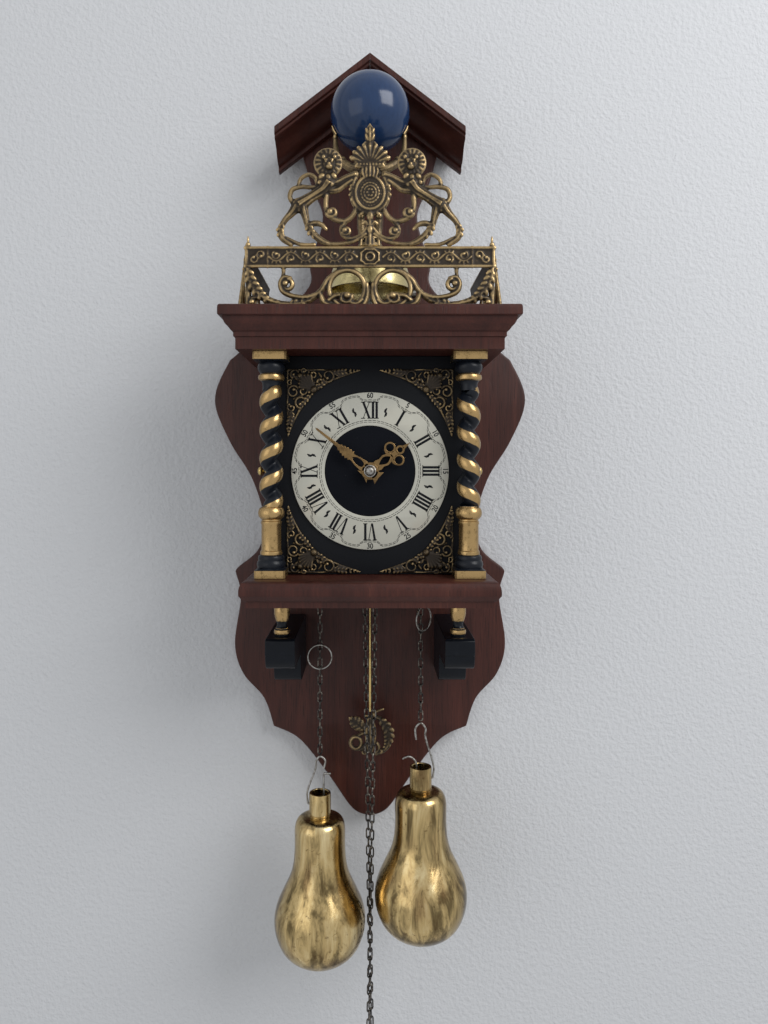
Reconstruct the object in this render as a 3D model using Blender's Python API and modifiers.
"""Zaanse wall clock, in metres. +Z is up and the dial faces -Y.

The origin is on the back of the backboard, at the height of the dial's centre.
"""

import math

import bmesh
import bpy
from mathutils import Matrix, Vector

# Allowances
GAP = 0.0003  # between two pieces that touch
RUNNING = 0.0005  # between wheels that run past each other
SINK = 0.0006  # how far shapes joined in one solid run into each other
OVERRUN = 0.002  # how far a cutter runs past the wall
MERGE = 0.000001
SLIVER = 0.00002  # edges shorter than this are left out

# Backboard
BOARD_THICK = 0.015
BOARD_HEIGHT = 0.650
BOARD_BELOW = 0.307  # from the dial's centre down to the foot
BOARD_HALF = 0.1383
ROOF_SLOPE_SHARE = 0.767  # rise over run
ROOF_SEAT_HALF = 0.0636  # where the roof's seat ends on each side

# Roof mouldings
ROOF_HALF = 0.0804
ROOF_OUT = 0.055  # from the wall to the nose
ROOF_DEEP = 0.026
ROOF_CAP = 0.0073  # the part above the board's edge
MITRE_GAP = 0.0003

# Case boards
CLEAR_ABOVE = 0.0865  # dial centre to the cornice
CLEAR_BELOW = 0.0778  # dial centre to the base board
CORNICE_HALF = 0.0955
CORNICE_FRONT = 0.1545
CORNICE_THICK = 0.0300
CORNICE_OVERHANG = 0.0108
BASE_HALF = 0.0858
BASE_FRONT = 0.1535
BASE_THICK = 0.0192
BASE_OVERHANG = 0.0067
OPEN_HALF = 0.0500  # the base board's cut-out
OPEN_FRONT = 0.1040
OPEN_BACK = 0.0280

# Dial
PANEL_FRONT = 0.1217
PANEL_THICK = 0.0040
PANEL_HALF = 0.0772
RING_OUTER = 0.0590
RING_INNER = 0.0340
RING_THICK = 0.0015
VELVET_THICK = 0.0010
SPANDREL_REACH = 0.0626  # from the dial's axis to the outer edge
SPANDREL_TOP = 0.0770
SPANDREL_ARC = 0.0690
SPANDREL_THICK = 0.0020

# Hands
MINUTE_LONG = 0.0520
HOUR_LONG = 0.0370
HAND_THICK = 0.0010
HAND_STANDOFF = 0.0027  # ring to the hour hand
HAND_HUB = 0.0062
MINUTE_AT_DEG = -51.7  # clockwise from twelve
HOUR_AT_DEG = 54.8
ARBOR_RADIUS = 0.0015
PIPE_OUTER = 0.0032
PIPE_INNER = 0.0020

# Columns
COLUMN_X = 0.0723
COLUMN_Y = 0.1358
COLUMN_BLOCK = 0.0122  # half width of the capital's block
COLUMN_PLINTH = 0.0112
SHAFT_RADIUS = 0.0088
SHAFT_SWAY = 0.0026  # how far the twisted shaft leaves the axis
SHAFT_PITCH = 0.0205
COLUMN_SIDES = 12
TWIST_STEPS = 6

# Side doors
DOOR_THICK = 0.0060
DOOR_OUTER = 0.0775
DOOR_STILE = 0.0120
DOOR_BACK_GAP = 0.0015  # lets the door's back corners turn clear of the board
HINGE_BACK = 0.0040  # door's back edge to the hinge's axis
HINGE_RADIUS = 0.0012
HINGE_LONG = 0.0030
GLASS_THICK = 0.0020
KNOB_RADIUS = 0.0035

# Gallery
GALLERY_Y = 0.1450
GALLERY_HALF = 0.0895
GALLERY_TOP = 0.1615
BAND_TALL = 0.0150
BAND_THICK = 0.0030
FRET_WIRE = 0.0014
SIDE_GALLERY_LONG = 0.1180
SIDE_GALLERY_LEAN_DEG = 8.0
SIDE_GALLERY_OUT = 0.0040  # beyond the end of the front band
LOOP_APART = 0.0034  # from the middle to the wire of a loop

# Crest
CREST_HALF = 0.0655
CREST_TALL = 0.0887
CREST_FLAT_SHARE = 0.75  # depth against width of its rods

# Bell, figure and globe
BELL_Y = 0.0850
BELL_RIM_Z = 0.1430
BELL_TALL = 0.0340
BELL_RADIUS = 0.0335
BELL_WALL = 0.0018
POST_RADIUS = 0.0030
FIGURE_TALL = 0.0795
GLOBE_RADIUS = 0.0322
GLOBE_Y = 0.0700
GLOBE_Z = 0.2926

# Brackets under the base board
BRACKET_X = 0.0680
BRACKET_WIDE = 0.0225
BRACKET_OUT = 0.1200
BRACKET_STEP_OUT = 0.0680
BRACKET_TOP = 0.1270  # below the dial's centre
BRACKET_MIDDLE = 0.1393
BRACKET_LOW = 0.1506
BRACKET_FOOT = 0.1740
BALUSTER_Y = 0.1050
BALUSTER_RADIUS = 0.0062

# Chains, weights and hooks
SPROCKET_X = 0.02275
SPROCKET_Z = 0.0300  # below the dial's centre
TIME_Y = 0.0800
STRIKE_Y = 0.0880
LANE = 0.0175  # chain to sprocket axis
CHAIN_RADIUS = 0.0020
WEIGHT_DROP = 0.0600
WEIGHT_LIFT = 0.0300
FREE_LEAN_SHARE = 0.0148  # sideways per unit down
TIME_FREE_END = 0.4950
STRIKE_FREE_END = 0.4980
TIME_RIM_Z = 0.2585
STRIKE_RIM_Z = 0.2345
TIME_CHAIN_END = 0.2285
STRIKE_CHAIN_END = 0.1990
WEIGHT_RADIUS = 0.0365
WEIGHT_TALL = 0.1360
NECK_RADIUS = 0.0087
NECK_BORE = 0.0066
NECK_DEEP = 0.0140
HOOK_WIRE = 0.0008
HOOK_HOLE = 0.0017
HOOK_HOLE_DOWN = 0.0095
STOP_RING = 0.0096
STOP_WIRE = 0.0006
END_RING = 0.0075
END_WIRE = 0.0009
TIME_RING_Z = 0.1490
STRIKE_RING_Z = 0.1170

# Pendulum
PENDULUM_Y = 0.0380
PENDULUM_PIVOT = 0.0460
BOB_Z = 0.2260
ROD_RADIUS = 0.0010
BOB_SPAN = 0.0350

# Movement
PLATE_HALF = 0.0570
PLATE_TOP = 0.0560
PLATE_LOW = 0.0620
PLATE_FOOT = 0.0065  # width of the feet that stand on the base board
PLATE_THICK = 0.0016
FRONT_PLATE_Y = 0.1120
BACK_PLATE_Y = 0.0520
PILLAR_RADIUS = 0.0025
PILLAR_X = 0.0530
BORE_SIDES = 8
GREAT_RADIUS = 0.0270
GREAT_ARBOR = 0.0018
WHEEL_THICK = 0.0016
TOOTH_DEEP = 0.0014
GREAT_TEETH = 24
CENTRE_RADIUS = 0.0185
THIRD_X = 0.0160
THIRD_Z = 0.0170
THIRD_RADIUS = 0.0150
ESCAPE_Z = 0.0300
ESCAPE_RADIUS = 0.0100
HAMMER_X = 0.0360
HAMMER_Z = 0.0220
HAMMER_Y = 0.0600
HAMMER_HEAD_RADIUS = 0.0035
HAMMER_HEAD_LONG = 0.0120
HAMMER_HEAD_X = 0.0260
HAMMER_HEAD_Z = 0.1470

# Colours
MAHOGANY = (0.075, 0.030, 0.024)
BLACK = (0.010, 0.013, 0.018)
OLD_BRASS = (0.34, 0.24, 0.11)
BRIGHT_BRASS = (0.62, 0.44, 0.16)
GILT = (0.60, 0.44, 0.19)
SILVER = (0.46, 0.46, 0.43)
STEEL = (0.30, 0.30, 0.31)
BLUE = (0.020, 0.055, 0.140)
PALE_GLASS = (0.80, 0.85, 0.85)

TURN_STEPS = 20
FACING = Matrix.Rotation(math.radians(90), 4, "X")  # drawn in x and y, stood up to face -Y


# Scene and materials


def clear_scene():
    for obj in list(bpy.data.objects):
        bpy.data.objects.remove(obj, do_unlink=True)


def new_collection(name):
    made = bpy.data.collections.new(name)
    bpy.context.scene.collection.children.link(made)
    return made


clear_scene()
PARTS = new_collection("zaanse_clock")
CUTTERS = new_collection("cutters")


def finish_of(name, colour, roughness, metallic):
    made = bpy.data.materials.new(name)
    made.use_nodes = True
    shader = made.node_tree.nodes["Principled BSDF"]
    shader.inputs["Base Color"].default_value = (*colour, 1)
    shader.inputs["Roughness"].default_value = roughness
    shader.inputs["Metallic"].default_value = metallic
    return made


def part(obj, name, finish):
    """Names a finished piece, gives it its own material and puts it among the parts."""
    colour, roughness, metallic = finish
    obj.name = name
    obj.data.name = name
    obj.data.materials.clear()
    obj.data.materials.append(finish_of(name, colour, roughness, metallic))
    for old in list(obj.users_collection):
        old.objects.unlink(obj)
    PARTS.objects.link(obj)
    if obj.type == "MESH":
        obj.data.shade_smooth()
        obj.data.set_sharp_from_angle(angle=math.radians(35))
    return obj


WOOD = (MAHOGANY, 0.35, 0.0)
EBONY = (BLACK, 0.35, 0.0)
CAST = (OLD_BRASS, 0.42, 1.0)
POLISHED = (BRIGHT_BRASS, 0.20, 1.0)
GILDED = (GILT, 0.28, 1.0)
SILVERED = (SILVER, 0.45, 0.3)
IRON = (STEEL, 0.35, 1.0)
VELVET = (BLACK, 0.95, 0.0)
GLAZE = (BLUE, 0.12, 0.0)
GLASS = (PALE_GLASS, 0.05, 0.0)


# Shape tools


def add_mesh(mesh, name="shape"):
    obj = bpy.data.objects.new(name, mesh)
    CUTTERS.objects.link(obj)
    return obj


def baked(obj):
    """The evaluated shape as a plain mesh object, with its place in the mesh."""
    bpy.context.view_layer.update()
    graph = bpy.context.evaluated_depsgraph_get()
    mesh = bpy.data.meshes.new_from_object(obj.evaluated_get(graph), depsgraph=graph)
    mesh.transform(obj.matrix_world)
    tidy = bmesh.new()
    tidy.from_mesh(mesh)
    bmesh.ops.remove_doubles(tidy, verts=tidy.verts, dist=MERGE)
    bmesh.ops.dissolve_degenerate(tidy, edges=tidy.edges, dist=SLIVER)
    bmesh.ops.recalc_face_normals(tidy, faces=tidy.faces)
    tidy.to_mesh(mesh)
    tidy.free()
    bpy.data.objects.remove(obj, do_unlink=True)
    return add_mesh(mesh)


def moved(obj, matrix):
    obj.data.transform(matrix)
    return obj


def shift(x, y, z):
    return Matrix.Translation(Vector((x, y, z)))


def box(low, high):
    mesh = bpy.data.meshes.new("box")
    shape = bmesh.new()
    bmesh.ops.create_cube(shape, size=1)
    low, high = Vector(low), Vector(high)
    size = high - low
    bmesh.ops.transform(shape, verts=shape.verts, matrix=Matrix.Diagonal((*size, 1)))
    bmesh.ops.translate(shape, verts=shape.verts, vec=(low + high) / 2)
    shape.to_mesh(mesh)
    shape.free()
    return add_mesh(mesh)


def rod(start, end, radius, sides=BORE_SIDES):
    """A straight cylinder from start to end."""
    start, end = Vector(start), Vector(end)
    along = end - start
    mesh = bpy.data.meshes.new("rod")
    shape = bmesh.new()
    bmesh.ops.create_cone(
        shape, cap_ends=True, segments=sides, radius1=radius, radius2=radius, depth=along.length
    )
    turn = Vector((0, 0, 1)).rotation_difference(along).to_matrix().to_4x4()
    middle = (start + end) / 2
    bmesh.ops.transform(shape, verts=shape.verts, matrix=Matrix.Translation(middle) @ turn)
    shape.to_mesh(mesh)
    shape.free()
    return add_mesh(mesh)


def ball(centre, radii, sides=10, rings=7):
    """An ellipsoid."""
    mesh = bpy.data.meshes.new("ball")
    shape = bmesh.new()
    bmesh.ops.create_uvsphere(shape, u_segments=sides, v_segments=rings, radius=1)
    bmesh.ops.transform(shape, verts=shape.verts, matrix=Matrix.Diagonal((*radii, 1)))
    bmesh.ops.translate(shape, verts=shape.verts, vec=centre)
    shape.to_mesh(mesh)
    shape.free()
    return add_mesh(mesh)


def turned(profile, steps=TURN_STEPS, closed=False):
    """A profile of (radius, height), top to bottom, turned round +Z. Closed ones have a bore."""
    count = len(profile)
    edges = [(i, i + 1) for i in range(count - 1)]
    if closed:
        edges.append((count - 1, 0))
    mesh = bpy.data.meshes.new("turned")
    mesh.from_pydata([(radius, 0, height) for radius, height in profile], edges, [])
    obj = add_mesh(mesh)
    screw = obj.modifiers.new("turn", "SCREW")
    screw.steps = steps
    screw.render_steps = steps
    screw.use_merge_vertices = True
    screw.merge_threshold = MERGE
    return baked(obj)


def lofted(rings):
    """Skins rings of equal count and closes both ends."""
    mesh = bpy.data.meshes.new("loft")
    shape = bmesh.new()
    rows = [[shape.verts.new(point) for point in ring] for ring in rings]
    count = len(rows[0])
    for lower, upper in zip(rows, rows[1:]):
        for i in range(count):
            j = (i + 1) % count
            shape.faces.new((lower[i], lower[j], upper[j], upper[i]))
    shape.faces.new(rows[0])
    shape.faces.new(rows[-1])
    bmesh.ops.recalc_face_normals(shape, faces=shape.faces)
    shape.to_mesh(mesh)
    shape.free()
    return add_mesh(mesh)


def flat(loops, thick, matrix):
    """Closed outlines and holes, drawn in x and y, made a plate of this thickness."""
    curve = bpy.data.curves.new("flat", "CURVE")
    curve.dimensions = "2D"
    curve.fill_mode = "BOTH"
    curve.extrude = thick / 2
    for loop in loops:
        spline = curve.splines.new("POLY")
        spline.points.add(len(loop) - 1)
        for point, (x, y) in zip(spline.points, loop):
            point.co = (x, y, 0, 1)
        spline.use_cyclic_u = True
    obj = bpy.data.objects.new("flat", curve)
    CUTTERS.objects.link(obj)
    return moved(baked(obj), matrix)


def tube(points, radius, taper=None, rounds=1, closed=False):
    """A wire through the points. Taper gives each point's share of the radius."""
    curve = bpy.data.curves.new("tube", "CURVE")
    curve.dimensions = "3D"
    curve.bevel_depth = radius
    curve.bevel_resolution = rounds
    curve.use_fill_caps = True
    spline = curve.splines.new("POLY")
    spline.points.add(len(points) - 1)
    shares = taper or [1] * len(points)
    for place, point, share in zip(spline.points, points, shares):
        place.co = (*point, 1)
        place.radius = share
    spline.use_cyclic_u = closed
    obj = bpy.data.objects.new("tube", curve)
    CUTTERS.objects.link(obj)
    return baked(obj)


def changed(first, others, operation):
    """One solid, from the first shape and a Boolean with all the others."""
    group = bpy.data.collections.new("operands")
    for other in others:
        group.objects.link(other)
    change = first.modifiers.new("change", "BOOLEAN")
    change.operation = operation
    change.operand_type = "COLLECTION"
    change.collection = group
    change.solver = "EXACT"
    result = baked(first)
    for other in others:
        bpy.data.objects.remove(other, do_unlink=True)
    bpy.data.collections.remove(group)
    return result


def joined(shapes):
    return changed(shapes[0], shapes[1:], "UNION")


def footed(shapes, level):
    """Joins the shapes and cuts off flat what is below this level."""
    shape = joined(shapes)
    low = [min(vertex.co[i] for vertex in shape.data.vertices) - OVERRUN for i in range(3)]
    high = [max(vertex.co[i] for vertex in shape.data.vertices) + OVERRUN for i in range(3)]
    high[2] = level
    return cut(shape, [box(low, high)])


def cut(first, others):
    return changed(first, others, "DIFFERENCE")


def circle(radius, count, centre=(0, 0), start=0.0):
    turn = 2 * math.pi / count
    return [
        (
            centre[0] + radius * math.cos(start + i * turn),
            centre[1] + radius * math.sin(start + i * turn),
        )
        for i in range(count)
    ]


def smooth(points, steps):
    """A smooth open line through the points, passing each of them."""
    ends = [points[0], *points, points[-1]]
    line = []
    for a, b, c, d in zip(ends, ends[1:], ends[2:], ends[3:]):
        for i in range(steps):
            t = i / steps
            line.append(
                tuple(
                    (
                        2 * q + (r - p) * t + (2 * p - 5 * q + 4 * r - s) * t * t
                        + (3 * q - p - 3 * r + s) * t ** 3
                    ) / 2
                    for p, q, r, s in zip(a, b, c, d)
                )
            )
    line.append(tuple(points[-1]))
    return line


def mirrored(points):
    return [(-x, *rest) for x, *rest in points]


# Wooden parts

# Each run is smooth and meets the next in a corner: (share of the half width, share of the height)
BOARD_RUN_SHARES = (
    ((0.383, 0.869), (0.304, 0.820), (0.383, 0.758), (0.416, 0.718), (0.832, 0.637),
     (0.918, 0.618), (1.000, 0.569), (0.907, 0.514), (0.759, 0.4615), (0.680, 0.403),
     (0.720, 0.365), (0.853, 0.340), (0.864, 0.3317)),
    ((0.864, 0.3317), (0.832, 0.300), (0.871, 0.236), (0.817, 0.195), (0.683, 0.1615),
     (0.620, 0.123)),
    ((0.620, 0.123), (0.453, 0.105), (0.275, 0.0585), (0.115, 0.0108), (0.0, 0.0)),
)
BOARD_STEPS = 3
BOARD_APEX = BOARD_HEIGHT - BOARD_BELOW
ROOF_APEX = BOARD_APEX + ROOF_CAP + GAP


def backboard():
    side = [(0, BOARD_APEX), (ROOF_SEAT_HALF, BOARD_APEX - ROOF_SLOPE_SHARE * ROOF_SEAT_HALF)]
    for run in BOARD_RUN_SHARES:
        places = [(x * BOARD_HALF, z * BOARD_HEIGHT - BOARD_BELOW) for x, z in run]
        if run is BOARD_RUN_SHARES[0]:
            places.insert(0, side[-1])
        side.extend(smooth(places, BOARD_STEPS)[1:])
    outline = side + mirrored(side[-2:0:-1])
    board = flat([outline], BOARD_THICK, shift(0, -BOARD_THICK / 2, 0) @ FACING)
    part(board, "backboard", WOOD)


# (share of the way out from the board, share of the depth), from the nose back to the board
ROOF_PROFILE_SHARES = (
    (1.0, 0.0), (1.0, 0.22), (0.94, 0.24), (0.94, 0.32), (0.80, 0.38), (0.62, 0.50),
    (0.48, 0.66), (0.36, 0.78), (0.20, 0.84), (0.16, 0.86), (0.16, 1.0), (0.0, 1.0),
)


def roof(side, name):
    board_front = BOARD_THICK + GAP
    out = ROOF_OUT - board_front
    profile = [(board_front + a * out, -b * ROOF_DEEP) for a, b in ROOF_PROFILE_SHARES]
    profile.extend([(board_front, -ROOF_CAP), (0, -ROOF_CAP), (0, 0)])
    rings = [
        [(side * x, -y, ROOF_APEX + z - ROOF_SLOPE_SHARE * x) for y, z in profile]
        for x in (MITRE_GAP / 2, ROOF_HALF)
    ]
    part(lofted(rings), name, WOOD)


# (share of the overhang, share of the thickness from the bottom)
CORNICE_SHARES = (
    (0.0, 0.0), (0.0, 0.28), (0.12, 0.31), (0.12, 0.40), (0.28, 0.46), (0.55, 0.56),
    (0.70, 0.66), (0.74, 0.72), (1.0, 0.76), (1.0, 0.90), (0.86, 1.0),
)
BASE_SHARES = (
    (0.35, 0.0), (0.35, 0.22), (0.72, 0.34), (1.0, 0.48), (1.0, 0.66), (0.90, 0.82),
    (0.62, 0.94), (0.0, 1.0),
)


def moulded_board(half, front, overhang, low, thick, shares):
    back = -BOARD_THICK - GAP
    rings = []
    for out, up in shares:
        x = half + out * overhang
        y = -(front + out * overhang)
        z = low + up * thick
        rings.append([(-x, y, z), (x, y, z), (x, back, z), (-x, back, z)])
    return lofted(rings)


HINGE_X = DOOR_OUTER - DOOR_THICK / 2
HINGE_Y = BOARD_THICK + DOOR_BACK_GAP + HINGE_BACK


def hinge_holes(low, high):
    hole = HINGE_RADIUS + GAP
    places = [(side * HINGE_X, -HINGE_Y) for side in (-1, 1)]
    return [rod((*place, low), (*place, high), hole) for place in places]


HAMMER_SLOT_LEFT = 0.0290
HAMMER_SLOT_RIGHT = 0.0520
HAMMER_SLOT_HALF = 0.0060
CORNICE_TOP = CLEAR_ABOVE + CORNICE_THICK
BASE_BOTTOM = -CLEAR_BELOW - BASE_THICK


def cornice():
    board = moulded_board(
        CORNICE_HALF, CORNICE_FRONT, CORNICE_OVERHANG, CLEAR_ABOVE, CORNICE_THICK, CORNICE_SHARES
    )
    slot = box(
        (HAMMER_SLOT_LEFT, -HAMMER_Y - HAMMER_SLOT_HALF, CLEAR_ABOVE - OVERRUN),
        (HAMMER_SLOT_RIGHT, -HAMMER_Y + HAMMER_SLOT_HALF, CORNICE_TOP + OVERRUN),
    )
    holes = hinge_holes(CLEAR_ABOVE - OVERRUN, CLEAR_ABOVE + HINGE_LONG + GAP)
    part(cut(board, [slot, *holes]), "cornice", WOOD)


def base_board():
    board = moulded_board(
        BASE_HALF, BASE_FRONT, BASE_OVERHANG, BASE_BOTTOM, BASE_THICK, BASE_SHARES
    )
    opening = box(
        (-OPEN_HALF, -OPEN_FRONT, BASE_BOTTOM - OVERRUN),
        (OPEN_HALF, -OPEN_BACK, -CLEAR_BELOW + OVERRUN),
    )
    holes = hinge_holes(-CLEAR_BELOW - HINGE_LONG - GAP, -CLEAR_BELOW + OVERRUN)
    part(cut(board, [opening, *holes]), "base_board", WOOD)


def bracket(side, name):
    back = -BOARD_THICK - GAP
    x0 = side * BRACKET_X - BRACKET_WIDE / 2
    x1 = side * BRACKET_X + BRACKET_WIDE / 2
    bevel = BRACKET_WIDE * BRACKET_BEVEL_SHARE
    side_view = [
        (back, -BRACKET_TOP), (-BRACKET_OUT, -BRACKET_TOP), (-BRACKET_OUT, -BRACKET_MIDDLE),
        (-BRACKET_OUT + bevel, -BRACKET_LOW), (-BRACKET_STEP_OUT, -BRACKET_LOW),
        (-BRACKET_STEP_OUT, -BRACKET_FOOT + bevel), (-BRACKET_STEP_OUT + bevel, -BRACKET_FOOT),
        (back, -BRACKET_FOOT),
    ]
    rings = [[(x, y, z) for y, z in side_view] for x in (x0, x1)]
    part(lofted(rings), name, EBONY)


BRACKET_BEVEL_SHARE = 0.13
# (share of the radius, share of the height), from the top
BALUSTER_SHARES = (
    (0.0, 1.0), (0.90, 1.0), (0.90, 0.86), (0.55, 0.80), (0.50, 0.72), (0.95, 0.60),
    (1.0, 0.48), (0.80, 0.34), (0.45, 0.24), (0.62, 0.18), (0.85, 0.12), (0.85, 0.0), (0.0, 0.0),
)


def baluster(side, name):
    low = -BRACKET_TOP + GAP
    tall = BASE_BOTTOM - GAP - low
    profile = [(r * BALUSTER_RADIUS, z * tall) for r, z in BALUSTER_SHARES]
    shape = turned(profile, COLUMN_SIDES)
    part(moved(shape, shift(side * BRACKET_X, -BALUSTER_Y, low)), name, GILDED)


# Columns

# (square or round, share of the half width or of the shaft's radius, share of the height from the top)
CAPITAL_SHARES = (
    ("square", 1.0, 0.0), ("square", 1.0, 0.035), ("round", 0.98, 0.045), ("round", 1.10, 0.065),
    ("round", 0.90, 0.094), ("round", 1.06, 0.100), ("round", 1.06, 0.122), ("round", 0.72, 0.130),
    ("round", 0.70, 0.160),
)
PEDESTAL_SHARES = (
    ("round", 0.72, 0.686), ("round", 1.04, 0.695), ("round", 1.10, 0.714), ("round", 1.0, 0.736),
    ("round", 0.80, 0.743), ("round", 0.86, 0.760), ("round", 0.84, 0.900), ("round", 1.12, 0.912),
    ("round", 1.18, 0.932), ("round", 0.98, 0.955), ("square", 1.0, 0.966), ("square", 1.0, 1.0),
)
TWIST_SPAN_SHARES = (0.166, 0.684)


def ring_of(kind, size, z, centre=(0, 0)):
    """One level of a column, with a corner of the square on each diagonal."""
    ring = []
    for x, y in circle(1, COLUMN_SIDES, start=math.pi / COLUMN_SIDES):
        grow = size / max(abs(x), abs(y)) if kind == "square" else size
        ring.append((centre[0] + x * grow, centre[1] + y * grow, z))
    return ring


def column(side, name):
    tall = CLEAR_ABOVE + CLEAR_BELOW - 2 * GAP
    top = CLEAR_ABOVE - GAP
    rings = []
    for kind, size, down in CAPITAL_SHARES:
        scale = COLUMN_BLOCK if kind == "square" else SHAFT_RADIUS
        rings.append(ring_of(kind, size * scale, top - down * tall))
    start, end = (share * tall for share in TWIST_SPAN_SHARES)
    steps = round((end - start) / SHAFT_PITCH * TWIST_STEPS)
    for i in range(steps + 1):
        down = start + (end - start) * i / steps
        angle = side * 2 * math.pi * (down - start) / SHAFT_PITCH
        swell = min(1, i, steps - i)
        centre = (swell * SHAFT_SWAY * math.cos(angle), swell * SHAFT_SWAY * math.sin(angle))
        rings.append(ring_of("round", SHAFT_RADIUS - SHAFT_SWAY, top - down, centre))
    for kind, size, down in PEDESTAL_SHARES:
        scale = COLUMN_PLINTH if kind == "square" else SHAFT_RADIUS
        rings.append(ring_of(kind, size * scale, top - down * tall))
    shape = lofted(rings)
    part(moved(shape, shift(side * COLUMN_X, -COLUMN_Y, 0)), name, GILDED)


# Dial and hands


def facing_at(x, front, thick, z):
    """Places a flat shape upright with its front face this far from the wall."""
    return shift(x, -(front - thick / 2), z) @ FACING


def dial_panel():
    low = -CLEAR_BELOW + GAP
    high = CLEAR_ABOVE - GAP
    outline = [(-PANEL_HALF, low), (PANEL_HALF, low), (PANEL_HALF, high), (-PANEL_HALF, high)]
    hole = circle(PIPE_OUTER + 2 * RUNNING, COLUMN_SIDES)
    shape = flat([outline, hole], PANEL_THICK, facing_at(0, PANEL_FRONT, PANEL_THICK, 0))
    part(shape, "dial_panel", EBONY)


RING_SIDES = 48
RING_FRONT = PANEL_FRONT + GAP + RING_THICK


def chapter_ring():
    loops = [circle(RING_OUTER, RING_SIDES), circle(RING_INNER, RING_SIDES)]
    shape = flat(loops, RING_THICK, facing_at(0, RING_FRONT, RING_THICK, 0))
    part(shape, "chapter_ring", SILVERED)


def dial_centre():
    loops = [circle(RING_INNER - GAP, RING_SIDES // 2), circle(PIPE_OUTER + 2 * RUNNING, COLUMN_SIDES)]
    front = PANEL_FRONT + GAP + VELVET_THICK
    part(flat(loops, VELVET_THICK, facing_at(0, front, VELVET_THICK, 0)), "dial_centre", VELVET)


# Outer edge of the top left corner piece: (share of the reach, share of the top), then its holes
SPANDREL_EDGE_SHARES = (
    (0.10, 0.955), (0.16, 0.985), (0.26, 0.99), (0.33, 0.955), (0.40, 0.985), (0.52, 1.0),
    (0.60, 0.965), (0.68, 0.99), (0.78, 0.975), (0.88, 1.0), (0.98, 0.99), (1.0, 0.93),
    (0.96, 0.86), (0.985, 0.80), (1.0, 0.72), (0.965, 0.64), (1.0, 0.58), (0.985, 0.50),
    (0.945, 0.45), (1.0, 0.39), (1.0, 0.33),
)
SPANDREL_HOLE_SHARES = ((0.47, 0.93, 0.040), (0.90, 0.93, 0.034), (0.90, 0.735, 0.046))


def leg(long, short):
    """The third side of a triangle with a square corner."""
    return math.sqrt(long ** 2 - short ** 2)


def spandrel(side, up, name):
    edge = [(-x * SPANDREL_REACH, z * SPANDREL_TOP) for x, z in SPANDREL_EDGE_SHARES]
    inner = []
    start = math.atan2(leg(SPANDREL_ARC, SPANDREL_REACH), SPANDREL_REACH) + SPANDREL_TIP
    high = SPANDREL_TOP * SPANDREL_EDGE_SHARES[0][1]
    end = math.atan2(high, leg(SPANDREL_ARC * SPANDREL_WIDEN_SHARE, high))
    for i in range(SPANDREL_ARC_STEPS):
        angle = math.pi - (start + (end - start) * i / (SPANDREL_ARC_STEPS - 1))
        reach = SPANDREL_ARC * (1 + SPANDREL_SCALLOP_SHARE * (i % 2))
        inner.append((reach * math.cos(angle), reach * math.sin(angle)))
    loops = [edge + inner]
    for x, z, size in SPANDREL_HOLE_SHARES:
        loops.append(circle(size * SPANDREL_TOP, BORE_SIDES, (-x * SPANDREL_REACH, z * SPANDREL_TOP)))
    placed = [[(x * -side, y * up) for x, y in loop] for loop in loops]
    front = PANEL_FRONT + GAP + SPANDREL_THICK
    part(flat(placed, SPANDREL_THICK, facing_at(0, front, SPANDREL_THICK, 0)), name, CAST)


SPANDREL_TIP = math.radians(4)
SPANDREL_WIDEN_SHARE = 1.10
SPANDREL_ARC_STEPS = 9
SPANDREL_SCALLOP_SHARE = 0.03

# Half outlines: (share of the length, share of the length sideways)
MINUTE_SHARES = (
    (-0.175, 0.0), (-0.175, 0.11), (-0.05, 0.10), (0.12, 0.085), (0.18, 0.12), (0.24, 0.085),
    (0.30, 0.105), (0.36, 0.105), (0.42, 0.075), (0.45, 0.095), (0.50, 0.055), (0.56, 0.062),
    (0.62, 0.030), (0.80, 0.018), (1.0, 0.0),
)
MINUTE_HOLE_SHARES = ((0.27, 0.036),)
HOUR_SHARES = (
    (-0.10, 0.0), (-0.16, 0.16), (0.0, 0.16), (0.17, 0.10), (0.30, 0.14), (0.44, 0.10),
    (0.46, 0.24), (0.56, 0.33), (0.68, 0.31), (0.74, 0.20), (0.72, 0.12), (0.84, 0.13),
    (0.93, 0.05), (1.0, 0.0),
)
HOUR_HOLE_SHARES = ((0.36, 0.055), (0.81, 0.055))


def hand_plate(shares, holes, length, bore, front, degrees):
    half = [(side * length, along * length) for along, side in shares]
    outline = half + mirrored(half[-2:0:-1])
    loops = [outline, circle(bore, COLUMN_SIDES)]
    for along, size in holes:
        loops.append(circle(size * length, BORE_SIDES, (0, along * length)))
    turn = Matrix.Rotation(-math.radians(degrees), 4, "Z")
    return flat(loops, HAND_THICK, facing_at(0, front, HAND_THICK, 0) @ turn)


HOUR_FRONT = RING_FRONT + HAND_STANDOFF + HAND_THICK
MINUTE_FRONT = HOUR_FRONT + HAND_THICK + HAND_THICK
# (share of the hub, share of its height), from the top down to the rim of the bore
NUT_SHARES = ((0.0, 1.0), (0.35, 0.94), (0.55, 0.72), (0.62, 0.42), (0.72, 0.36), (0.74, 0.0))
NUT_BORE_SHARE = 0.5


def y_axis_part(shape, x, back, z):
    """Lays a turned shape down so that its foot is this far from the wall."""
    return moved(shape, shift(x, -back, z) @ FACING)


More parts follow.
